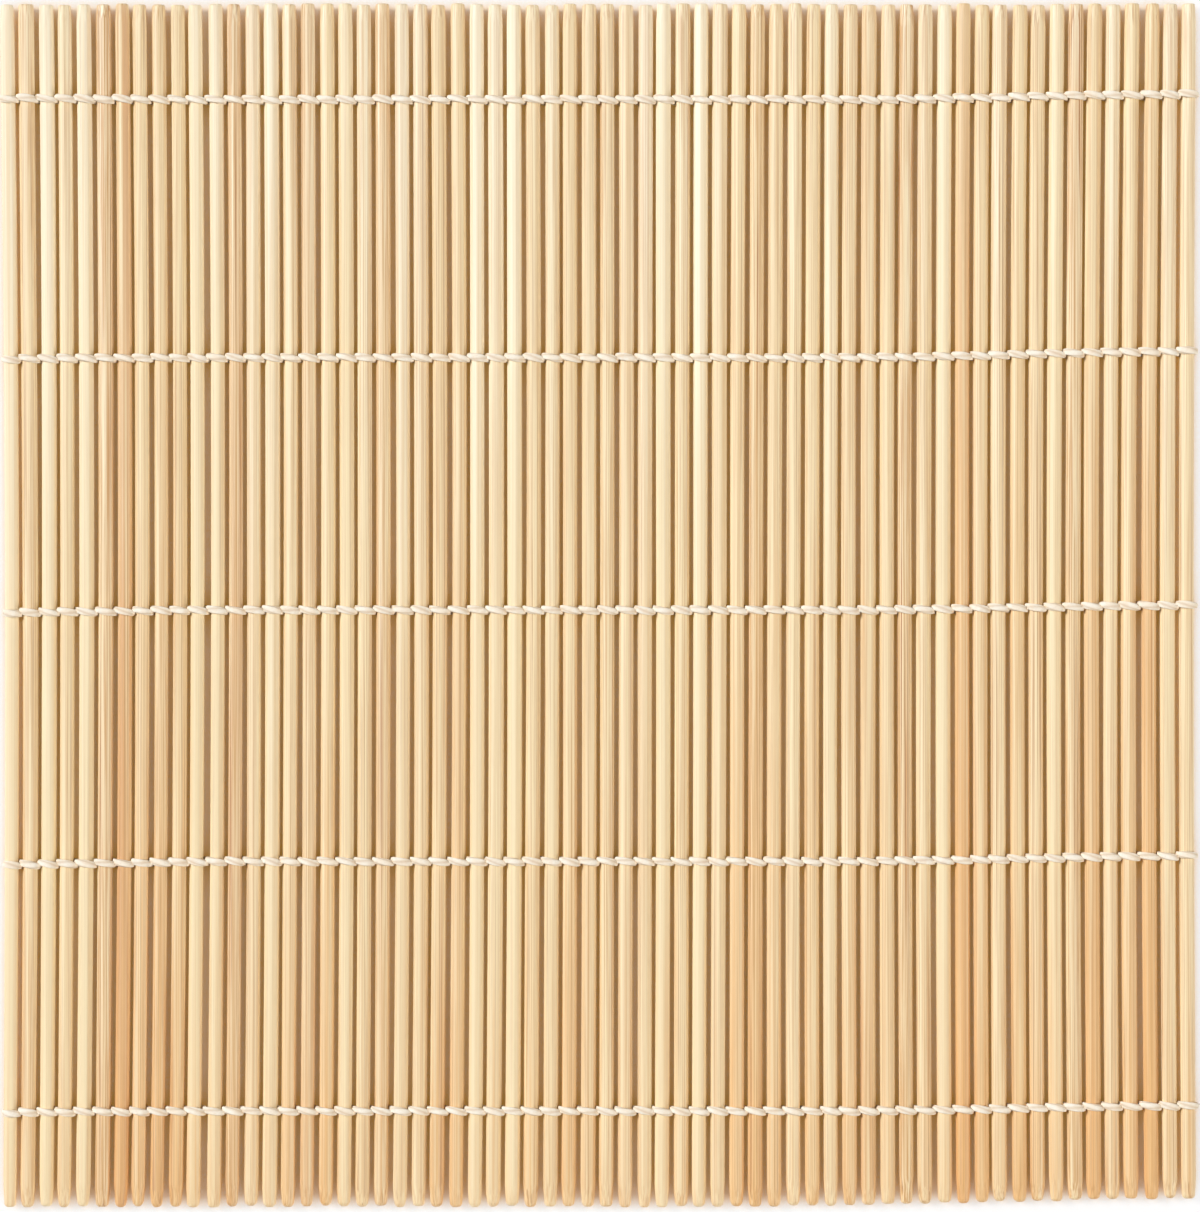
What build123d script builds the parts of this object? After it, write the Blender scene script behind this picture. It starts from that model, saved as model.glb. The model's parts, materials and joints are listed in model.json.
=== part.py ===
from build123d import *
import math
import os
import random

# Sushi rolling mat: 64 round bamboo sticks side by side, bound by five rows of twined cotton cord.
# Millimetres. X runs across the sticks from the first (low X) to the last, Y along them, Z up.
# The origin is on the table, under the middle of the mat. Sticks are numbered from 1 at low X.
# Gap k is the space on the high-X side of stick k, so gap 0 is outside the first stick.

# Driving sizes
stick_count = 64
stick_diameter = 2.8
stick_length = 240.0
cord_diameter = 0.8
cord_clearance = 0.06
strand_gap = 0.48
row_count = 5
row_inset = 19.0
pair_count = 10

# Rows of cord are pushed along the sticks by a little near both side edges of the mat
row_drop = 0.5
row_rise = 1.2
drop_share = 0.2
rise_share = 0.3

# Sawn stick ends: the low Y end is turned to a slight cone, the high Y end hardly, and both are rounded.
# Ends scatter a little, and towards the last stick the low Y ends fall short by more.
low_taper_length = 4.5
low_taper_depth = 0.28
low_round = 0.6
high_taper_length = 3.0
high_taper_depth = 0.12
high_round = 0.25
tip_spread_share = 0.3
end_scatter = 0.35
corner_shortfall = 1.6
corner_share = 0.4
scatter_seed = 7

# The two ends of each cord are tied in a small flat knot under the first stick
knot_length = 2.6
knot_width = 2.2
knot_round = 0.22
knot_end_angle = 20

# Sizes that follow
stick_radius = stick_diameter / 2
cord_radius = cord_diameter / 2
pitch = stick_diameter + cord_diameter + 2 * cord_clearance
strand_offset = (cord_diameter + strand_gap) / 2
stitch_radius = math.hypot(pitch / 2, strand_offset)
foot_flat = cord_diameter / 10
axis_height = stitch_radius + cord_radius - foot_flat
row_spacing = (stick_length - 2 * row_inset) / (row_count - 1)

os.makedirs("parts", exist_ok=True)


def gap_x(gap):
    """Middle of a gap, across the mat."""
    return (gap - stick_count / 2) * pitch


def ease(share):
    """Smooth step from 0 to 1."""
    share = min(max(share, 0), 1)
    return share * share * (3 - 2 * share)


def row_shift(gap):
    """How far a row is pushed along the sticks where it crosses a gap."""
    across = gap / stick_count
    drop = row_drop * ease(1 - across / drop_share)
    rise = row_rise * ease(1 - (1 - across) / rise_share)
    return rise - drop


def gap_point(gap, side):
    """Where a strand passes through a gap, side +1 or -1 of the row's line, or 0 on it."""
    return Vector(gap_x(gap), row_shift(gap) + side * strand_offset, axis_height)


def on_stitch(low, high, angle):
    """Point on the circle round one stick through a strand's two gap points, angle from +X up."""
    radius = (high - low).length / 2
    outward = (high - low).normalized() * radius * math.cos(math.radians(angle))
    return (low + high) / 2 + outward + Vector(0, 0, radius) * math.sin(math.radians(angle))


def stitch(low, high, from_angle, to_angle):
    """Arc of a strand round one stick, between two angles."""
    middle_angle = (from_angle + to_angle) / 2
    ends = [on_stitch(low, high, angle) for angle in (from_angle, to_angle)]
    return ThreePointArc(ends[0], on_stitch(low, high, middle_angle), ends[1])


def goes_over(strand, stick):
    """Whether strand 0 or 1 passes over a stick, or under it."""
    return (stick + strand) % 2 == 1


def strand_side(strand, gap):
    """A strand climbs through a gap on the +Y side and dives on the -Y side."""
    if gap in (0, stick_count):
        return 0
    return 1 if goes_over(strand, gap + 1) else -1


def strand_stitch(strand, stick):
    """A strand's two gap points at a stick, low X first."""
    return [gap_point(gap, strand_side(strand, gap)) for gap in (stick - 1, stick)]


def cord_path():
    """One cord: from the knot over the first stick and across, round the last stick and back."""
    arcs = [stitch(*strand_stitch(1, 1), 270 - knot_end_angle, 180)]
    for stick in range(1, stick_count + 1):
        turn = -180 if goes_over(0, stick) else 180
        arcs.append(stitch(*strand_stitch(0, stick), 180, 180 + turn))
    for stick in range(stick_count, 1, -1):
        turn = 180 if goes_over(1, stick) else -180
        arcs.append(stitch(*strand_stitch(1, stick), 0, turn))
    arcs.append(stitch(*strand_stitch(1, 1), 0, knot_end_angle - 90))
    return Wire(arcs)


def least_self_gap(path):
    """Least gap between the path's own turns, on points, less the cord's diameter."""
    points = [path.position_at(n / path_samples) for n in range(path_samples + 1)]
    step = path.length / path_samples
    apart = math.ceil(math.pi * stitch_radius / step / 2)
    least = path.length
    columns = {}
    for number, point in enumerate(points):
        columns.setdefault(math.floor(point.X / pitch), []).append(number)
    for column, members in columns.items():
        near = members + columns.get(column + 1, [])
        for a in members:
            for b in near:
                if abs(a - b) > apart:
                    least = min(least, (points[a] - points[b]).length)
    return least - cord_diameter


path_samples = 4000

# Binding cords: all rows have the same cord
path = cord_path()
with BuildPart() as cord:
    with BuildSketch(Plane(origin=path @ 0, z_dir=path % 0)):
        Circle(cord_radius)
    sweep(path=path)
    split(bisect_by=Plane.XY, keep=Keep.TOP)
full_volume = math.pi * cord_radius**2 * path.length
print(
    f"cord length {path.length:.1f}, stitch radius {stitch_radius:.3f},"
    f" volume is {cord.part.volume / full_volume:.4f} of section times length"
)
print(f"least gap of the cord to itself {least_self_gap(path):.3f}")

row_places = [(0, (row - (row_count - 1) / 2) * row_spacing, 0) for row in range(row_count)]
for number, place in enumerate(row_places, 1):
    with BuildPart() as placed:
        with Locations(place):
            add(cord.part)
    placed.part.label = f"binding_cord_{number}"
    export_step(placed.part, f"parts/{placed.part.label}.step")

# Knots under the first stick, cut to the cord ends that they hold
knot_height = axis_height - stick_radius - 2 * cord_clearance
low_point, high_point = strand_stitch(1, 1)
knot_middle = (low_point + high_point) / 2
with BuildPart() as knot:
    with BuildSketch(Plane(origin=(knot_middle.X, knot_middle.Y, cord_clearance))):
        Ellipse(knot_length / 2, knot_width / 2)
    extrude(amount=knot_height)
    rims = knot.edges().group_by(Axis.Z)[0] + knot.edges().group_by(Axis.Z)[-1]
    fillet(rims, radius=knot_round)
    add(cord.part, mode=Mode.SUBTRACT)
with BuildPart() as knots:
    with Locations(*row_places):
        add(knot.part)
knots.part.label = "end_knots"
export_step(knots.part, "parts/end_knots.step")

# Bamboo sticks: each is a turned profile with its own shortfall, cone and roundness at both ends
draw = random.Random(scatter_seed)
tip_sizes = [
    (low_taper_length, low_taper_depth, low_round),
    (high_taper_length, high_taper_depth, high_round),
]


def end_shortfalls(most_at_corner):
    """How far each stick falls short at one end, none for the longest."""
    ramp = [most_at_corner * ease(1 - (1 - stick / stick_count) / corner_share) for stick in range(stick_count)]
    falls = [size + end_scatter * draw.random() for size in ramp]
    return [size - min(falls) for size in falls]


shortfalls = [end_shortfalls(corner_shortfall), end_shortfalls(0)]


def tip_points(stick, end):
    """Points where a stick's cone starts and ends, as (radius, distance along Y), and its corner's radius."""
    length, depth, corner = [size * (1 + tip_spread_share * draw.uniform(-1, 1)) for size in tip_sizes[end]]
    direction = 1 if end else -1
    reach = stick_length / 2 - shortfalls[end][stick - 1]
    side = Vector(stick_radius, direction * (reach - length))
    return side, Vector(stick_radius - depth, direction * reach), corner


def stick_shape(stick):
    """One whole stick, turned about its own axis."""
    low_side, low_end, low_corner = tip_points(stick, 0)
    high_side, high_end, high_corner = tip_points(stick, 1)
    with BuildPart() as whole:
        axis_plane = Plane(origin=(stick_middle_x(stick), 0, axis_height))
        with BuildSketch(axis_plane) as half:
            with BuildLine():
                Polyline(
                    (0, low_end.Y), low_end, low_side, high_side, high_end, (0, high_end.Y), close=True
                )
            make_face()
            fillet(half.vertices().group_by(Axis.Y)[0].sort_by(Axis.X)[-1], radius=low_corner)
            fillet(half.vertices().group_by(Axis.Y)[-1].sort_by(Axis.X)[-1], radius=high_corner)
        revolve(axis=Axis(axis_plane.origin, (0, 1, 0)))
    return whole.part


def stick_middle_x(stick):
    """A stick's axis lies midway between its two gaps."""
    return (gap_x(stick - 1) + gap_x(stick)) / 2


groups = [(2 * pair + 1, 2 * pair + 2) for pair in range(pair_count)]
groups += [(stick,) for stick in range(2 * pair_count + 1, stick_count + 1)]

for group in groups:
    shapes = [stick_shape(stick) for stick in group]
    with BuildPart() as sticks:
        add(shapes)
    numbers = "_".join(f"{stick:02d}" for stick in group)
    sticks.part.label = f"{'sticks' if len(group) > 1 else 'stick'}_{numbers}"
    export_step(sticks.part, f"parts/{sticks.part.label}.step")

print(f"pitch {pitch:.3f}, axis height {axis_height:.3f}, strand offset {strand_offset:.3f}")
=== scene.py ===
import json
import math
import random

import bpy
import numpy as np
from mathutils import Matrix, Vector

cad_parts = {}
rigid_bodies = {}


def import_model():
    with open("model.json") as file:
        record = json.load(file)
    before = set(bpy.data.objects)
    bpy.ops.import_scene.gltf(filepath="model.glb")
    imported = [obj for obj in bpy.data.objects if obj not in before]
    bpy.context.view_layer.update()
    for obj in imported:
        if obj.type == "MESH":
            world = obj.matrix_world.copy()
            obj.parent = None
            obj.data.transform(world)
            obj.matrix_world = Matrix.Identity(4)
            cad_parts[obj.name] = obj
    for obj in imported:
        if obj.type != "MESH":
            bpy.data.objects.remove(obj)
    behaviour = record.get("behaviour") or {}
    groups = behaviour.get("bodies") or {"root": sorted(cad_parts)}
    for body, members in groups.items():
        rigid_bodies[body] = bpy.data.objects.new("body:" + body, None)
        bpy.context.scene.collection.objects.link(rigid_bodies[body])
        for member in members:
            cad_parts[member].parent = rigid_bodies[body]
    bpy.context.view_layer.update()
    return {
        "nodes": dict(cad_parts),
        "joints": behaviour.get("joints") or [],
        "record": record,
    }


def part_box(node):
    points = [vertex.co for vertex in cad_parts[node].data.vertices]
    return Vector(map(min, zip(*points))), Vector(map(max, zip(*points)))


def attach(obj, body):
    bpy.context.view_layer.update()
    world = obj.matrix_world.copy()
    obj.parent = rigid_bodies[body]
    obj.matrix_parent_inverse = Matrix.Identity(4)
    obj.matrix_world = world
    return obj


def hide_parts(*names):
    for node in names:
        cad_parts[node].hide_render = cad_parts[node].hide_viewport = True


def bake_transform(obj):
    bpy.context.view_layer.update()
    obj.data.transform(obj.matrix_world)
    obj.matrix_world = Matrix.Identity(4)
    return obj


# Looks of the sushi rolling mat, in metres, in the CAD model's own frame.
# X runs across the sticks, Y along them, Z up. Sticks are numbered from 1 at low X.
# Gap k is the space on the high-X side of stick k.

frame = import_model()

MM = 0.001


# Sizes read from the frame

def numbers_of(node):
    """Stick numbers in a node's name, none for a node that isn't of sticks."""
    kind, *numbers = node.split("_")
    return [int(number) for number in numbers] if kind in ("stick", "sticks") else []


stick_node, stick_body = {}, {}
for body, nodes in frame["record"]["behaviour"]["bodies"].items():
    for node in nodes:
        for number in numbers_of(node):
            stick_node[number] = node
            stick_body[number] = body
stick_count = len(stick_node)
last_low, last_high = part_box(stick_node[stick_count])
before_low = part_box(stick_node[stick_count - 1])[0]
pitch = last_low.x - before_low.x
stick_radius = (last_high.z - last_low.z) / 2
axis_height = (last_high.z + last_low.z) / 2
half_length = max(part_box(node)[1].y for node in stick_node.values())
cord_nodes = [node for node in frame["nodes"] if node.startswith("binding_cord")]
row_count = len(cord_nodes)

# Rows of cord. They are evenly spaced in the CAD model. Here each row, from low Y, stands off its even place, drops
# near the first stick and rises near the last by as much as the photograph shows
row_inset = 19 * MM
row_offsets = [size * MM for size in (0.32, -0.48, -0.9, -1.15, -0.2)]
row_drops = [size * MM for size in (0.22, 0.58, 0.44, 0.16, -0.2)]
row_rises = [size * MM for size in (1.02, 1.1, 0.9, 1.28, 1.0)]
drop_share = 0.2
rise_share = 0.3
row_spacing = (2 * half_length - 2 * row_inset) / (row_count - 1)

# The hand-made mat isn't quite square. At these shares across it, sticks stand off their even places by the
# offset sizes, lean by the lean sizes from top to bottom, and are drawn in or out at half height by the waist sizes
across_shares = (0.0, 0.04, 0.14, 0.25, 0.42, 0.52, 0.61, 0.7, 0.8, 0.9, 0.96, 1.0)
offset_sizes = [size * MM for size in (-0.05, 0.1, 0.1, -0.05, 0.0, 0.0, 0.0, 0.0, 0.1, 0.15, 0.4, 0.45)]
lean_sizes = [size * MM for size in (0.8, 0.0, -0.4, -0.25, -0.4, -0.2, -0.6, -0.2, 0.0, -0.2, -0.2, 0.0)]
waist_sizes = [size * MM for size in (0.6, 0.65, 0.8, 0.45, 0.4, 0.1, -0.1, -0.3, -0.4, -0.55, -0.7, -0.4)]
place_scatter = 0.07 * MM
thickness_change = (-0.03, 0.018)
thinner_first_stick = 0.93
thicker_second_stick = 1.06

# Strands of the cord, flattened where they pass over or under a stick
strand_offset = 0.37 * MM
strand_half_width = 0.76 * MM
strand_half_width_in_gap = 0.53 * MM
strand_half_thickness = 0.42 * MM
edge_half_thickness = 0.17 * MM
under_half_thickness = axis_height / 2 - stick_radius / 2
ply_count = 3
ply_groove = 0.2
ply_turn_per_stitch = 0.31
ply_groove_power = 1.5
crown_power = 0.78
section_power = 0.8
stitch_nudge = 0.05 * MM
stitch_width_change = (0.94, 1.06)

# Seeds of the random draws
place_seed = 20
knot_seed = 77
stick_seed = 1000
cord_seed = 5000

draw = random.Random(place_seed)


def srgb(red, green, blue):
    """A colour written as a screen shows it, 0 to 255, as linear light."""
    shares = [value / 255 for value in (red, green, blue)]
    return [s / 12.92 if s <= 0.04045 else ((s + 0.055) / 1.055) ** 2.4 for s in shares] + [1.0]


def ease(share):
    """Smooth step from 0 to 1."""
    share = np.clip(share, 0, 1)
    return share * share * (3 - 2 * share)


def gap_x(gap):
    """Even place of a gap, across the mat."""
    return (gap - stick_count / 2) * pitch


def row_y(row, gap):
    """Middle line of a row of cord where it crosses a gap, along the sticks."""
    across = gap / stick_count
    drop = row_drops[row] * ease(1 - across / drop_share)
    rise = row_rises[row] * ease(1 - (1 - across) / rise_share)
    return (row - (row_count - 1) / 2) * row_spacing + row_offsets[row] + rise - drop


def lean(points):
    """Points pushed across the mat as its sticks stand off, lean and bow in."""
    across = points[:, 0] / (stick_count * pitch) + 0.5
    offset, lean_size, waist = [
        np.interp(across, across_shares, sizes) for sizes in (offset_sizes, lean_sizes, waist_sizes)
    ]
    upward = points[:, 1] / half_length
    points[:, 0] += offset - lean_size * upward / 2 + waist * (0.5 - upward**2)
    return points


stick_shift = {n: draw.gauss(0, 1) * place_scatter for n in range(1, stick_count + 1)}
stick_size = {n: 1 + draw.uniform(*thickness_change) for n in range(1, stick_count + 1)}
stick_size[1] = thinner_first_stick
stick_size[2] = thicker_second_stick


# Camera, straight above the mat

camera_height = 1.0
picture_height = 241.7 * MM
camera_place = (0.45 * MM, -0.1 * MM, camera_height)
sensor_width = 36.0
camera = bpy.data.cameras.new("camera")
camera.sensor_width = sensor_width
camera.lens = sensor_width * (camera_height - axis_height) / picture_height
camera_object = bpy.data.objects.new("camera", camera)
camera_object.location = camera_place
bpy.context.scene.collection.objects.link(camera_object)
bpy.context.scene.camera = camera_object
bpy.context.scene.view_settings.view_transform = "Standard"


# Light: a key lamp from the upper left, a softer, lower and slightly warm one from the right, and a little plain
# white sky. Each lamp is its colour, its level on a flat surface, and its height, turn and softness in degrees

white = (1, 1, 1, 1)
sky_level = 0.03
lamps = {
    "key": ((1, 1, 1), 0.65, 40, 157, 22),
    "fill": ((1, 0.94, 0.86), 0.35, 31, -26, 45),
}

world = bpy.data.worlds.new("sky")
bpy.context.scene.world = world
world.use_nodes = True
world.node_tree.nodes["Background"].inputs["Color"].default_value = white
world.node_tree.nodes["Background"].inputs["Strength"].default_value = sky_level


def add_sun(name, colour, level, height_deg, turn_deg, softness_deg):
    """A distant lamp that lights a level surface by a share of full white."""
    height, turn = math.radians(height_deg), math.radians(turn_deg)
    lamp = bpy.data.lights.new(name, "SUN")
    lamp.color = colour
    lamp.energy = math.pi * level / math.sin(height)
    lamp.angle = math.radians(softness_deg)
    lamp_object = bpy.data.objects.new(name, lamp)
    across = math.cos(height)
    towards = Vector((across * math.cos(turn), across * math.sin(turn), math.sin(height)))
    lamp_object.rotation_euler = towards.to_track_quat("Z", "Y").to_euler()
    bpy.context.scene.collection.objects.link(lamp_object)


for name, sizes in lamps.items():
    add_sun(name, *sizes)


# Materials

class Graph:
    """Short calls that make and join the nodes of one material. Where a node has several sockets of the same name,
    they are found by number."""

    def __init__(self, name):
        self.material = bpy.data.materials.new(name)
        self.material.use_nodes = True
        self.tree = self.material.node_tree
        self.shader = self.tree.nodes["Principled BSDF"]

    def add(self, kind, inputs=(), **settings):
        made = self.tree.nodes.new(kind)
        for key, value in settings.items():
            setattr(made, key, value)
        for key, value in dict(inputs).items():
            self.feed(made.inputs[key], value)
        return made

    def feed(self, socket, value):
        if isinstance(value, bpy.types.NodeSocket):
            self.tree.links.new(value, socket)
        else:
            socket.default_value = value

    def math(self, operation, *values, clamp=False):
        made = self.add("ShaderNodeMath", operation=operation, use_clamp=clamp)
        for number, value in enumerate(values):
            self.feed(made.inputs[number], value)
        return made.outputs[0]

    def mix(self, share, one, other):
        made = self.add("ShaderNodeMix", data_type="RGBA")
        self.feed(made.inputs[0], share)
        self.feed(made.inputs[6], one)
        self.feed(made.inputs[7], other)
        return made.outputs[2]

    def ramp(self, value, low, high, to_low=0.0, to_high=1.0):
        inputs = {0: value, 1: low, 2: high, 3: to_low, 4: to_high}
        return self.add("ShaderNodeMapRange", inputs, interpolation_type="SMOOTHSTEP").outputs[0]

    def attribute(self, name):
        return self.add("ShaderNodeAttribute", attribute_name=name).outputs["Fac"]

    def noise(self, vector, scales, detail, roughness=0.5):
        place = self.add("ShaderNodeVectorMath", {0: vector, 1: scales}, operation="MULTIPLY").outputs[0]
        inputs = {"Vector": place, "Scale": 1.0, "Detail": detail, "Roughness": roughness}
        return self.add("ShaderNodeTexNoise", inputs).outputs[0]

    def spread(self, value, reach):
        """A value from 0 to 1 turned into a change of up to half the reach, down or up."""
        return self.math("MULTIPLY_ADD", value, reach, -reach / 2)


# Noise scales across the sticks, along them and in height, per metre
fine_fibres = (5600, 22, 5600)
medium_fibres = (1900, 8, 1900)
broad_patches = (420, 14, 420)
vein_streaks = (3000, 6, 3000)
end_pores = (5200, 0, 5200)
cotton_fibres = (1500, 7500, 5200)
cotton_patches = (600, 600, 600)

# Bamboo
bamboo_cream = srgb(255, 244, 218)
bamboo_beige = srgb(248, 229, 188)
bamboo_tan = srgb(238, 190, 128)
bamboo_pink = srgb(214, 160, 116)
fibre_brown = srgb(208, 158, 101)
vein_brown = srgb(170, 106, 58)
cut_pale = srgb(244, 218, 168)
cut_dark = srgb(176, 130, 84)
medium_tone_reach = 0.5
broad_tone_reach = 0.3
line_share = 0.76
vein_share = 0.68
bamboo_specular = 0.6
medium_height_share = 0.8
bamboo_bump_share = 0.6
bamboo_bump = 0.04 * MM

# Cotton
cotton_white = srgb(255, 249, 236)
cotton_cream = srgb(253, 241, 222)
# Painted shade: the cotton is painted browner down in the grooves between its plies, where shade falls
cotton_groove_shade = srgb(206, 172, 126)
cotton_shade = srgb(228, 204, 172)
groove_shade_share = 0.6
shade_share = 0.4
cotton_roughness = 0.85
cotton_specular = 0.2
cotton_sheen = 0.2
cotton_sheen_roughness = 0.6
cotton_bump_share = 0.8
cotton_bump = 0.06 * MM

# Floor
shade_reach = 7 * MM
shade_samples = 4
open_floor_share = 0.86
# Painted light on the floor: a warm tint as painted bounce light in the gaps, and a warm painted glow there that is
# no lamp
painted_bounce_tint = srgb(255, 206, 112)
painted_gap_glow = srgb(255, 192, 92)
painted_glow_share = 0.2


def bamboo_colour(g, place, fine, medium, broad):
    """Cream to tan from stick to stick, with a pink blush, fine fibre lines and browner veins along it."""
    grain = g.attribute("grain")
    tone = g.math("ADD", g.attribute("tone"), g.spread(medium, medium_tone_reach))
    tone = g.math("ADD", tone, g.spread(broad, broad_tone_reach), clamp=True)
    colour = g.mix(g.ramp(tone, 0.0, 0.5), bamboo_cream, bamboo_beige)
    colour = g.mix(g.ramp(tone, 0.5, 1.0), colour, bamboo_tan)
    blush = g.math("MULTIPLY", g.attribute("blush"), g.ramp(medium, 0.3, 0.65), clamp=True)
    colour = g.mix(blush, colour, bamboo_pink)
    lines = g.math("MULTIPLY", g.ramp(fine, 0.42, 0.64, 0.0, line_share), grain, clamp=True)
    colour = g.mix(lines, colour, fibre_brown)
    veins = g.noise(place, vein_streaks, 1.0)
    vein = g.math("MULTIPLY", g.ramp(veins, 0.58, 0.68), g.ramp(broad, 0.36, 0.56), clamp=True)
    vein = g.math("MULTIPLY", vein, grain, clamp=True)
    return g.mix(g.math("MULTIPLY", vein, vein_share), colour, vein_brown)


def bamboo_material():
    """Raw bamboo: fibrous and slightly glossy along each stick, with open pores on its sawn ends."""
    g = Graph("bamboo")
    place = g.add("ShaderNodeTexCoord").outputs["Object"]
    seed = g.attribute("seed")
    shift = g.add("ShaderNodeCombineXYZ", {"X": seed, "Y": seed, "Z": seed}).outputs[0]
    place = g.add("ShaderNodeVectorMath", {0: place, 1: shift}, operation="ADD").outputs[0]
    fine = g.noise(place, fine_fibres, 3.0, 0.6)
    medium = g.noise(place, medium_fibres, 2.0)
    broad = g.noise(place, broad_patches, 1.0)
    colour = bamboo_colour(g, place, fine, medium, broad)
    pores = g.noise(place, end_pores, 1.0)
    end_grain = g.mix(g.ramp(pores, 0.5, 0.62), cut_pale, cut_dark)
    colour = g.mix(g.attribute("cut"), colour, end_grain)
    g.feed(g.shader.inputs["Base Color"], colour)
    g.feed(g.shader.inputs["Roughness"], g.ramp(medium, 0.25, 0.75, 0.42, 0.58))
    g.shader.inputs["Specular IOR Level"].default_value = bamboo_specular
    height = g.math("ADD", fine, g.math("MULTIPLY", medium, medium_height_share))
    inputs = {"Height": height, "Strength": bamboo_bump_share, "Distance": bamboo_bump}
    g.feed(g.shader.inputs["Normal"], g.add("ShaderNodeBump", inputs).outputs[0])
    return g.material


def cotton_material():
    """Off-white cotton yarn: matt and fibrous, with painted shade down in its grooves."""
    g = Graph("cotton_cord")
    place = g.add("ShaderNodeTexCoord").outputs["Object"]
    fibres = g.noise(place, cotton_fibres, 3.0, 0.65)
    patches = g.noise(place, cotton_patches, 1.0)
    colour = g.mix(g.ramp(patches, 0.3, 0.7), cotton_white, cotton_cream)
    # Painted shade: darker and browner by the depth of the ply grooves
    groove = g.math("MULTIPLY", g.attribute("groove"), groove_shade_share)
    colour = g.mix(groove, colour, cotton_groove_shade)
    colour = g.mix(g.ramp(fibres, 0.5, 0.72, 0.0, shade_share), colour, cotton_shade)
    g.feed(g.shader.inputs["Base Color"], colour)
    g.shader.inputs["Roughness"].default_value = cotton_roughness
    g.shader.inputs["Specular IOR Level"].default_value = cotton_specular
    g.shader.inputs["Sheen Weight"].default_value = cotton_sheen
    g.shader.inputs["Sheen Roughness"].default_value = cotton_sheen_roughness
    inputs = {"Height": fibres, "Strength": cotton_bump_share, "Distance": cotton_bump}
    g.feed(g.shader.inputs["Normal"], g.add("ShaderNodeBump", inputs).outputs[0])
    return g.material


def floor_material():
    """White floor, brighter to the camera where it lies open. Down in the gaps between the sticks its colour is
    painted warm as painted bounce light off the bamboo, and a faint painted glow there stands for the light that
    real bamboo lets through."""
    g = Graph("floor")
    g.shader.inputs["Roughness"].default_value = 1.0
    g.shader.inputs["Specular IOR Level"].default_value = 0.0
    rays = g.add("ShaderNodeLightPath").outputs
    seen = g.math("MAXIMUM", rays["Is Camera Ray"], rays["Is Glossy Ray"])
    seen = g.math("MAXIMUM", seen, rays["Is Transmission Ray"])
    shade = g.add("ShaderNodeAmbientOcclusion", {"Distance": shade_reach}, samples=shade_samples)
    openness = shade.outputs["AO"]
    # Painted bounce light: the floor's colour turns warm where the sticks hem it in
    g.feed(g.shader.inputs["Base Color"], g.mix(g.ramp(openness, 0.35, 0.65), painted_bounce_tint, white))
    share = g.math("MULTIPLY", seen, g.ramp(openness, 0.4, 0.7, painted_glow_share, open_floor_share))
    # Painted glow: warm light given off in the gaps, standing in for light through the bamboo
    painted_glow_colour = g.mix(g.ramp(openness, 0.35, 0.6), painted_gap_glow, white)
    glow = g.add("ShaderNodeEmission", {"Color": painted_glow_colour}).outputs[0]
    joined = g.add("ShaderNodeMixShader", {0: share, 1: g.shader.outputs[0], 2: glow})
    g.feed(g.tree.nodes["Material Output"].inputs["Surface"], joined.outputs[0])
    return g.material


bamboo = bamboo_material()
cotton = cotton_material()


# Mesh making

def new_piece(name, points, quads, caps, material, values=()):
    """A smooth mesh object with flat caps, from arrays of points and faces, with named values on its points."""
    mesh = bpy.data.meshes.new(name)
    mesh.from_pydata(points.tolist(), [], quads + caps)
    mesh.update()
    mesh.polygons.foreach_set("use_smooth", [True] * len(quads) + [False] * len(caps))
    for key, value in dict(values).items():
        attribute = mesh.attributes.new(key, "FLOAT", "POINT")
        attribute.data.foreach_set("value", np.asarray(value, np.float32))
    mesh.materials.append(material)
    piece = bpy.data.objects.new(name, mesh)
    bpy.context.scene.collection.objects.link(piece)
    return piece


def ring_faces(rings, around, first=0):
    """Quads between rings of points, and a cap of one face on each end ring."""
    quads = []
    for ring in range(rings - 1):
        low = first + ring * around
        for n in range(around):
            after = (n + 1) % around
            quads.append((low + n, low + after, low + around + after, low + around + n))
    last = first + (rings - 1) * around
    caps = [tuple(first + n for n in reversed(range(around))), tuple(last + n for n in range(around))]
    return quads, caps


# Bamboo sticks

stick_around = 48
stick_rings = 84
stick_swell = 1.075

# A CAD point is a stick's own where it is this near to its middle line, as a share of its radius
near_share = 1.01

# Both ends: reach and number of the closer rings, least and greatest length and depth of the turned cone,
# and size of the rounded corner. A depth is a share of the radius
tip_reach = 7 * MM
tip_rings = 12
low_cone_length = (3.5 * MM, 5.5 * MM)
low_cone_depth = (0.16, 0.32)
low_corner_size = (0.55 * MM, 1.0 * MM)
high_cone_length = (3 * MM, 5 * MM)
high_cone_depth = (0.07, 0.17)
high_corner_size = (0.2 * MM, 0.4 * MM)
cone_power = 1.2

# Long flats that splitting and shaving leave round a stick, as shares of its radius
facet_counts = (6, 7, 7, 8, 9)
facet_depth = (0.9, 0.98)
facet_scatter = 0.18
facet_least_cosine = 0.2
facet_twist = 0.04
facet_twist_run = 60 * MM

# Grooves round a stick, swellings along it and its bow, with the lengths that their waves run along it
groove_counts = (5, 9, 14, 17)
groove_depth = 0.009
groove_wander = 0.7
groove_wander_run = (40 * MM, 90 * MM)
groove_fade_run = (25 * MM, 60 * MM)
swelling = 0.01
swelling_run = (30 * MM, 60 * MM)
bow_most = 0.09 * MM
bow_shift = 0.4
lift_most = 0.036 * MM
lift_waves = 1.5
widest_phase = 6.3

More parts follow.
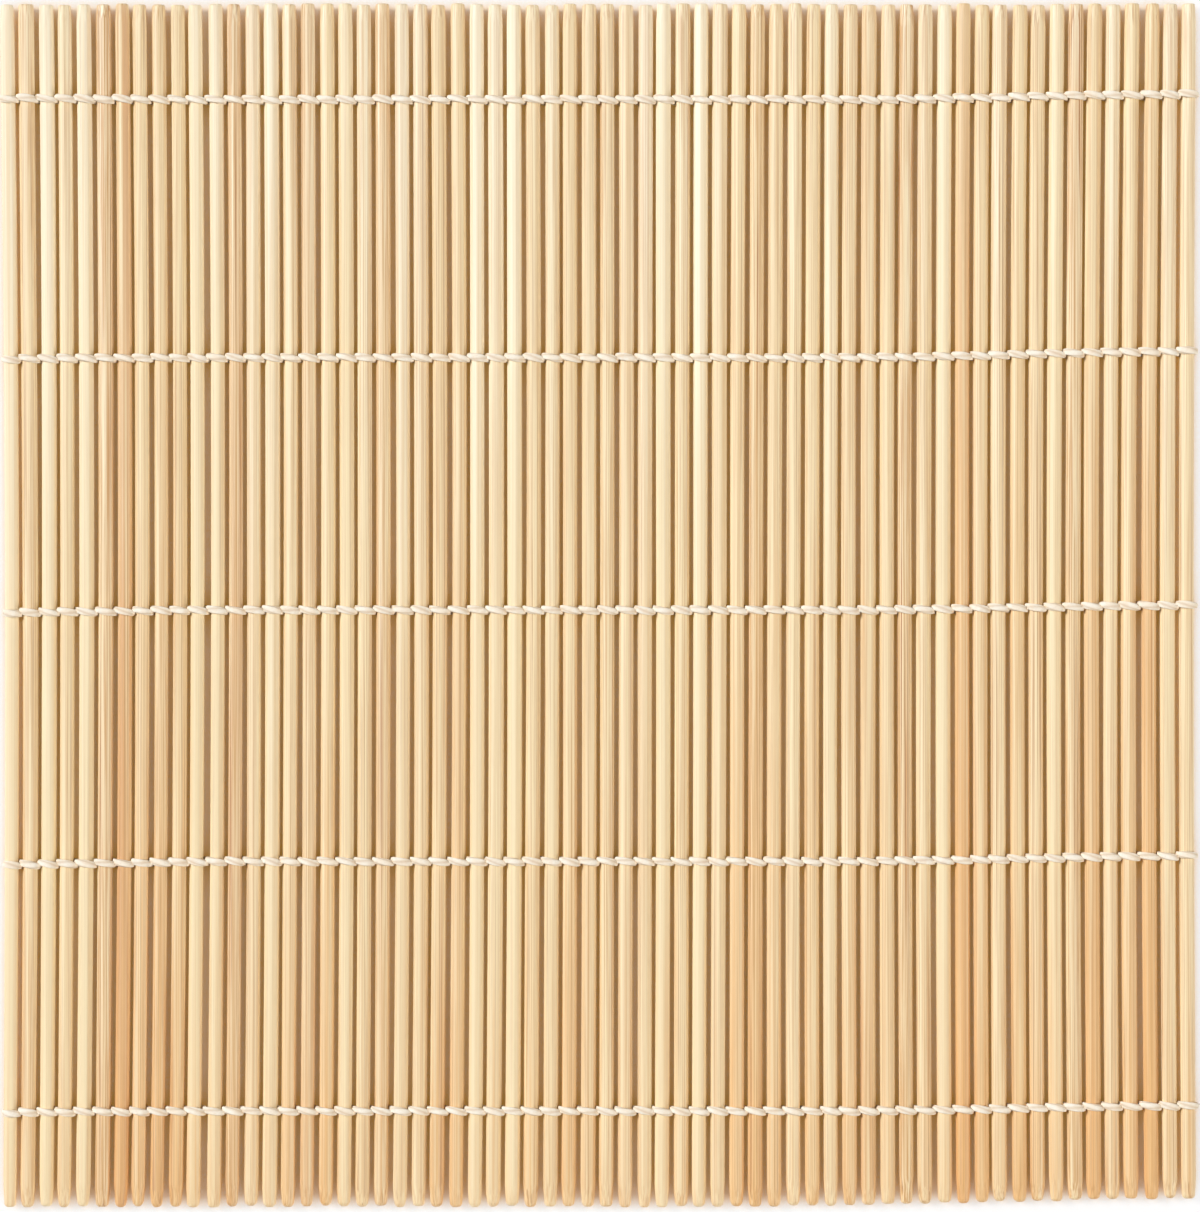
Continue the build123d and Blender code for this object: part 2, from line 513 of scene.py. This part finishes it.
# Sticks that stand out in colour: much paler, browner or pinker than the rest
pale_sticks = (1, 3, 5, 11, 12, 15, 22, 26, 27, 28, 35, 36, 38, 51)
cream_sticks = (14, 16, 20, 23, 30, 54, 56, 60, 63)
honey_sticks = (8, 9, 10, 18, 24, 25, 31, 40, 41, 53, 55, 59, 61)
tan_sticks = (7, 52, 62)
pink_sticks = (7, 13, 17, 21)
brown_grained_sticks = (6, 13, 21, 33, 41, 49, 58)
stick_tones = {pale_sticks: -0.18, cream_sticks: -0.09, honey_sticks: 0.11, tan_sticks: 0.26}

# Tone at the high Y end, how much it grows across the mat and down to the low Y end, and its scatter. The growth
# across
# and down is painted light: the mat is painted warmer to high X and tan and darker to low Y, as light falls off
# over it.
# At the low Y end the paler sticks keep only a share of their paleness, so they too are painted darker there
top_tone = 0.28
painted_warmth_across = 0.06
painted_shade_downward = 0.4
tone_scatter = 0.04
low_paleness = 0.3

# Blush and grain of a stick, as shares, and what some sticks have more or less of
blush_middle = 0.06
blush_scatter = 0.08
tan_blush = 0.15
pink_blush = 0.3
grain_share = (0.35, 0.8)
brown_grain = 0.5
pale_grain = -0.3
seed_step = 0.37


def stick_reach(number):
    """Lowest and highest Y of one stick, from its CAD node."""
    middle = (gap_x(number - 1) + gap_x(number)) / 2
    mesh = frame["nodes"][stick_node[number]].data
    along = [v.co.y for v in mesh.vertices if abs(v.co.x - middle) < stick_radius * near_share]
    return min(along), max(along)


def cone(distance, length, depth):
    """Share of the radius left by a stick's turned cone at a distance from its end."""
    return 1 - depth * (1 - np.clip(distance / length, 0, 1)) ** cone_power


def rounding(distance, size):
    """Length taken off the radius by a stick's rounded corner at a distance from its end."""
    share = np.clip(1 - distance / size, 0, 1)
    return size * (1 - np.sqrt(1 - share * share))


def tip_shapes(from_low, from_high, pick):
    """Share of the radius that a stick's two cones leave along it, and the length that its corners take off."""
    low_cone = cone(from_low, pick.uniform(*low_cone_length), pick.uniform(*low_cone_depth))
    high_cone = cone(from_high, pick.uniform(*high_cone_length), pick.uniform(*high_cone_depth))
    low_corner = rounding(from_low, pick.uniform(*low_corner_size))
    high_corner = rounding(from_high, pick.uniform(*high_corner_size))
    return low_cone * high_cone, low_corner + high_corner


def facets(turn, pick):
    """Share of the radius left by the long flats round a stick."""
    count = pick.choice(facet_counts)
    first = pick.uniform(0, 2 * math.pi)
    share = np.ones_like(turn)
    for n in range(count):
        facing = first + 2 * math.pi * (n + pick.uniform(-facet_scatter, facet_scatter)) / count
        off = (turn - facing + math.pi) % (2 * math.pi) - math.pi
        level = pick.uniform(*facet_depth)
        flat = level / np.maximum(np.cos(off), facet_least_cosine)
        share = np.minimum(share, np.where(np.abs(off) < math.pi / 2, flat, 1))
    return share


def chance_phase(pick):
    """Where a wave starts, anywhere round a full turn."""
    return pick.uniform(0, widest_phase)


def wave(run, lengths, pick):
    """A wave along a stick, of chance length and phase, from -1 to 1."""
    return np.sin(run / pick.uniform(*lengths) + chance_phase(pick))


def grooves(turn, run, pick):
    """Shallow wandering grooves between the fibres, from -1 to 1."""
    made = np.zeros_like(turn)
    for count in groove_counts:
        wander = chance_phase(pick) + groove_wander * wave(run, groove_wander_run, pick)
        strength = (1 + wave(run, groove_fade_run, pick)) / 2
        made += np.sin(count * turn + wander) * strength / len(groove_counts)
    return made


def stick_radii(number, turn, run, pick):
    """Radius of a stick at the points of its side, before its ends are shaped."""
    size = stick_radius * stick_swell * stick_size[number]
    radius = size * facets(turn + facet_twist * np.sin(run / facet_twist_run), pick)
    radius *= 1 + groove_depth * grooves(turn, run, pick)
    return radius * (1 + swelling * wave(run, swelling_run, pick))


def stick_bends(run, pick):
    """How far a stick's middle line stands off across the mat and upwards."""
    most = bow_most * pick.uniform(-1, 1)
    bow = most * np.sin(math.pi * (run / half_length + pick.uniform(-bow_shift, bow_shift)))
    lift = lift_most * pick.uniform(-1, 1) * np.sin(math.pi * run / half_length * lift_waves)
    return bow, lift


def stick_points(number, along, turn, run, pick):
    """Points of one stick, ring after ring."""
    share, loss = tip_shapes(along - along[0], along[-1] - along, pick)
    radius = stick_radii(number, turn, run, pick) * share[:, None] - loss[:, None]
    bow, lift = stick_bends(run, pick)
    middle = (gap_x(number - 1) + gap_x(number)) / 2 + stick_shift[number]
    x = middle + bow + radius * np.cos(turn)
    z = axis_height + lift + radius * np.sin(turn)
    return lean(np.stack([x, run, z], axis=-1).reshape(-1, 3))


def stick_blush(number, pick):
    """How pink a stick is."""
    chance = max(0, pick.gauss(blush_middle, blush_scatter))
    return chance + tan_blush * (number in tan_sticks) + pink_blush * (number in pink_sticks)


def stick_grain(number, pick):
    """How strongly a stick shows its fibres."""
    chance = pick.uniform(*grain_share)
    return chance + brown_grain * (number in brown_grained_sticks) + pale_grain * (number in pale_sticks)


def stick_tone(number, points, pick):
    """Tone of a stick's points: from cream at 0 to tan at 1, with painted light that makes it warmer across the mat
    and darker towards its low Y end.
    """
    upward = points[:, 1] / (2 * half_length) + 0.5
    # Painted light: tone grows across the mat and down to the low Y end, as light falls off over it
    tone = top_tone + painted_warmth_across * number / stick_count + painted_shade_downward * (1 - upward)
    tone = tone + pick.gauss(0, tone_scatter)
    for members, change in stick_tones.items():
        share = low_paleness + (1 - low_paleness) * upward if change < 0 else 1
        tone = tone + change * share * (number in members)
    return tone


def make_stick(number):
    """One bamboo stick, in the place of its CAD solid."""
    pick = random.Random(stick_seed + number)
    low_y, high_y = stick_reach(number)
    ends = np.linspace(0, 1, tip_rings) ** 2 * tip_reach
    body = np.linspace(low_y + tip_reach, high_y - tip_reach, stick_rings)
    along = np.concatenate([low_y + ends[:-1], body, (high_y - ends[:-1])[::-1]])
    angle = np.linspace(0, 2 * math.pi, stick_around, endpoint=False)
    turn, run = np.meshgrid(angle, along)
    points = stick_points(number, along, turn, run, pick)
    cut = np.zeros(len(points))
    cut[:stick_around] = 1
    cut[-stick_around:] = 1
    values = {
        "blush": np.full(len(points), stick_blush(number, pick)),
        "grain": np.full(len(points), stick_grain(number, pick)),
        "tone": stick_tone(number, points, pick),
        "seed": np.full(len(points), number * seed_step),
        "cut": cut,
    }
    quads, caps = ring_faces(len(along), stick_around)
    piece = new_piece(f"bamboo_stick_{number:02d}", points, quads, caps, bamboo, values)
    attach(piece, stick_body[number])
    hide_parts(stick_node[number])


for number in range(1, stick_count + 1):
    make_stick(number)


# Cords

steps_per_stitch = 20
seam_step = 0.004
strand_around = 28
place_slack = 1e-6

# Stray fibres: thin three-sided hairs. Lift, sway and curl are shares of a fibre's length
fibres_per_stitch = 5
fibre_steps = 5
fibre_sides = 3
fibre_length = (0.35 * MM, 0.9 * MM)
fibre_radius = 0.012 * MM
fibre_taper = 0.8
fibre_lift = 0.35
fibre_sway = 0.6
fibre_curl = 0.5
fibre_root_share = 0.9


def goes_over(strand, stick):
    """Whether strand 0 or 1 passes over a stick, or under it."""
    return (stick + strand) % 2 == 1


def strand_side(strand, gap):
    """A strand climbs through a gap on the +Y side and dives on the -Y side."""
    if gap in (0, stick_count):
        return 0
    return 1 if goes_over(strand, gap + 1) else -1


def shifted_gap_x(gap):
    """Middle of the space that two sticks, as they really lie, leave at a gap."""
    near = [stick_shift[n] for n in (gap, gap + 1) if n in stick_shift]
    return gap_x(gap) + sum(near) / len(near)


stitch_jitter = {
    (row, stick): (draw.gauss(0, stitch_nudge), draw.uniform(*stitch_width_change))
    for row in range(row_count)
    for stick in range(1, stick_count + 1)
}


def stitch_shares(start, stop):
    """Even steps between two places of a stitch, with one more step close to each end."""
    count = max(2, round(steps_per_stitch * (stop - start)) + 1)
    inner = np.linspace(start, stop, count)[1:-1]
    return np.concatenate([[start, start + seam_step], inner, [stop - seam_step, stop]])


def gap_place(row, strand, gap):
    """Where a strand passes through a gap, across the mat and along the sticks."""
    return shifted_gap_x(gap), row_y(row, gap) + strand_side(strand, gap) * strand_offset


def half_thickness_at(gap):
    """Half thickness of a strand in a gap: pressed thin where it goes round the first stick."""
    return edge_half_thickness if gap == 0 else strand_half_thickness


def stitch_line(row, strand, stick, start, stop):
    """Place along the mat, centre line, outward directions and half sizes of part of one stitch."""
    share = stitch_shares(start, stop)
    over = goes_over(strand, stick)
    wide = -np.cos(math.pi * share)
    lift = np.sin(math.pi * share)
    low_x, low_y = gap_place(row, strand, stick - 1)
    high_x, high_y = gap_place(row, strand, stick)
    if stick == 1:
        low_x += strand_half_thickness - edge_half_thickness
    crown_thickness = strand_half_thickness if over else under_half_thickness
    nudge, width = stitch_jitter[(row, stick)]
    x = (low_x + high_x) / 2 + (high_x - low_x) / 2 * wide
    y = (low_y + high_y) / 2 + (high_y - low_y) / 2 * wide + nudge * lift
    reach = stick_radius + crown_thickness
    z = axis_height + reach * (lift**crown_power if over else -lift)
    outward = np.stack([wide, np.zeros_like(wide), lift if over else -lift], axis=1)
    half_w = strand_half_width_in_gap + (strand_half_width * width - strand_half_width_in_gap) * lift
    ends = half_thickness_at(stick - 1) + (half_thickness_at(stick) - half_thickness_at(stick - 1)) * share
    half_t = ends + (crown_thickness - ends) * lift
    return stick - 1 + share, np.stack([x, y, z], axis=1), outward, half_w, half_t


def squared(value):
    """A sine or cosine swollen so that a strand's section is fuller than an ellipse."""
    return np.sign(value) * np.abs(value) ** section_power


def tube(place, line, outward, half_w, half_t, phase):
    """Points and groove shade of a plied strand round a centre line."""
    along = np.gradient(line, axis=0)
    along /= np.linalg.norm(along, axis=1, keepdims=True)
    outward = outward - (outward * along).sum(1, keepdims=True) * along
    outward /= np.linalg.norm(outward, axis=1, keepdims=True)
    side = np.cross(along, outward)
    angle = np.linspace(0, 2 * math.pi, strand_around, endpoint=False)
    turn, twist = np.meshgrid(angle, 2 * math.pi * ply_turn_per_stitch * place + phase)
    lobe = np.abs(np.sin(ply_count / 2 * (turn - twist)))
    depth = (1 - lobe) ** ply_groove_power
    reach = 1 - ply_groove * depth
    points = (
        line[:, None, :]
        + (squared(np.cos(turn)) * reach * half_t[:, None])[..., None] * outward[:, None, :]
        + (squared(np.sin(turn)) * reach * half_w[:, None])[..., None] * side[:, None, :]
    )
    return points.reshape(-1, 3), depth.reshape(-1)


def fibre(root, outward, along, pick):
    """A stray cotton fibre that curls off the strand."""
    length = pick.uniform(*fibre_length)
    side = np.cross(outward, along)
    sway = along * pick.uniform(-1, 1) + side * pick.uniform(-1, 1)
    curl = along * pick.uniform(-1, 1) + side * pick.uniform(-1, 1)
    other_side = np.cross(side, sway)
    points = []
    for share in np.linspace(0, 1, fibre_steps):
        way = share * (fibre_lift * outward + fibre_sway * sway) + share * share * fibre_curl * curl
        middle = root + length * way
        radius = fibre_radius * (1 - fibre_taper * share)
        for corner in range(fibre_sides):
            turn = corner * 2 * math.pi / fibre_sides
            points.append(middle + radius * (math.cos(turn) * side + math.sin(turn) * other_side))
    return np.array(points)


def strand_parts(row, strand, start, stop):
    """Stitches of one strand between two places along the mat, counted in gaps."""
    parts = []
    place = start
    while place < stop - place_slack:
        stick = math.floor(place + place_slack) + 1
        until = min(stop, stick)
        parts.append(stitch_line(row, strand, stick, place - (stick - 1), until - (stick - 1)))
        place = until
    return [np.concatenate([p[i] if n == 0 else p[i][1:] for n, p in enumerate(parts)]) for i in range(5)]


class Yarn:
    """Meshes of many strands and fibres gathered into one."""

    def __init__(self):
        self.points, self.shade, self.quads, self.caps = [], [], [], []
        self.count = 0

    def add(self, points, shade, rings, around):
        """A tube of points, ring after ring, with the groove shade of each point."""
        quads, caps = ring_faces(rings, around, self.count)
        self.points.append(points)
        self.shade.append(shade)
        self.quads += quads
        self.caps += caps
        self.count += len(points)

    def add_fibres(self, count, line, outward, half_w, half_t, pick):
        """Stray fibres that stand off a strand at chance places, but none that reach into the table."""
        for _ in range(count):
            at = pick.randrange(1, len(line) - 1)
            tangent = line[at + 1] - line[at - 1]
            tangent /= np.linalg.norm(tangent)
            side = np.cross(tangent, outward[at])
            turn = pick.uniform(0, 2 * math.pi)
            way = math.cos(turn) * outward[at] + math.sin(turn) * side
            reach = math.cos(turn) * outward[at] * half_t[at] + math.sin(turn) * side * half_w[at]
            hair = fibre(line[at] + fibre_root_share * reach, way, tangent, pick)
            if hair[:, 2].min() > 0:
                self.add(hair, np.zeros(len(hair)), fibre_steps, fibre_sides)

    def piece(self, name):
        """One mesh object of all that was gathered."""
        points = lean(np.concatenate(self.points))
        values = {"groove": np.concatenate(self.shade)}
        return new_piece(name, points, self.quads, self.caps, cotton, values)


def cord_piece(name, start, stop):
    """Both strands of every row between two places along the mat, in one mesh."""
    pick = random.Random(round(start * 2) + cord_seed)
    yarn = Yarn()
    for row in range(row_count):
        lines = [strand_parts(row, strand, start, stop) for strand in (0, 1)]
        if stop == stick_count:
            back = [part[::-1] for part in lines[1]]
            back[0] = 2 * stick_count - back[0]
            lines = [[np.concatenate([a, b[1:]]) for a, b in zip(lines[0], back)]]
        for number, (place, line, outward, half_w, half_t) in enumerate(lines):
            way = -1 if number else 1
            points, shade = tube(way * place, line, outward, half_w, half_t, row + math.pi * number)
            yarn.add(points, shade, len(line), strand_around)
            yarn.add_fibres(round(fibres_per_stitch * (stop - start)), line, outward, half_w, half_t, pick)
    return yarn.piece(name)


def body_middle(body):
    """Where a body's own stretch of cord is cut, counted in gaps."""
    members = [n for n, b in stick_body.items() if b == body]
    return sum(members) / len(members) - 0.5


children = {joint["child"] for joint in frame["joints"]}
parents = {joint["parent"] for joint in frame["joints"]}
for joint in frame["joints"]:
    parent, child = joint["parent"], joint["child"]
    start = body_middle(parent) if parent in children else 0
    stop = body_middle(child) if child in parents else stick_count
    gap = max(n for n, b in stick_body.items() if b == parent)
    piece = cord_piece(f"cord_stitches_{gap:02d}", start, stop)
    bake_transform(piece)
    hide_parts(*cord_nodes)


# Knots

knot_steps = 90
knot_half_long = 1.05 * MM
knot_half_wide = 0.85 * MM
knot_half_thickness = 0.2 * MM
knot_strand_half_width = 0.3 * MM
knot_opening = 0.25
knot_rise_share = 0.85
knot_tail = 1.1 * MM
knot_tail_change = (0.8, 1.2)
knot_tail_bend = (0.3, 0.7)
knot_tail_steps = 10
knot_fibres = 16


def knot_line(middle_x, middle_y, pick):
    """Centre line of a flat overhand knot with two short tails, under the first stick."""
    turn = np.linspace(math.pi + knot_opening, 3 * math.pi - knot_opening, knot_steps)
    x = knot_half_long * (np.sin(turn) + 2 * np.sin(2 * turn)) / 3
    y = knot_half_wide * (np.cos(turn) - 2 * np.cos(2 * turn)) / 3
    rise = under_half_thickness - knot_half_thickness
    z = under_half_thickness - knot_rise_share * rise * np.sin(3 * turn)
    line = np.stack([middle_x + x, middle_y + y, z], axis=1)
    tails = []
    for end, before in ((line[0], line[1]), (line[-1], line[-2])):
        way = (end - before) / np.linalg.norm(end - before)
        share = np.linspace(0, 1, knot_tail_steps)[1:, None]
        bend = np.array([0, -pick.uniform(*knot_tail_bend), 0]) * share**2
        tail = end + knot_tail * pick.uniform(*knot_tail_change) * (way * share + bend)
        tail[:, 2] = end[2] + (under_half_thickness - end[2]) * share[:, 0]
        tails.append(tail)
    return np.concatenate([tails[0][::-1], line, tails[1]])


def make_knots():
    """The knots that end the cords, one for each row."""
    pick = random.Random(knot_seed)
    yarn = Yarn()
    for row in range(row_count):
        low_x, low_y = gap_place(row, 1, 0)
        high_x, high_y = gap_place(row, 1, 1)
        line = knot_line((low_x + high_x) / 2, (low_y + high_y) / 2, pick)
        up = np.tile([0.0, 0.0, 1.0], (len(line), 1))
        half_w = np.full(len(line), knot_strand_half_width)
        half_t = np.full(len(line), knot_half_thickness)
        length = np.concatenate([[0], np.cumsum(np.linalg.norm(np.diff(line, axis=0), axis=1))])
        points, shade = tube(length / pitch, line, up, half_w, half_t, row)
        yarn.add(points, shade, len(line), strand_around)
        yarn.add_fibres(knot_fibres, line, up, half_w, half_t, pick)
    piece = yarn.piece("cord_end_knots")
    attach(piece, stick_body[1])
    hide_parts("end_knots")


make_knots()


# Floor

floor_size = 6.0
floor_drop = 0.02 * MM
bpy.ops.mesh.primitive_plane_add(size=floor_size, location=(0, 0, -floor_drop))
floor = bpy.context.object
floor.name = "floor"
floor.data.materials.append(floor_material())
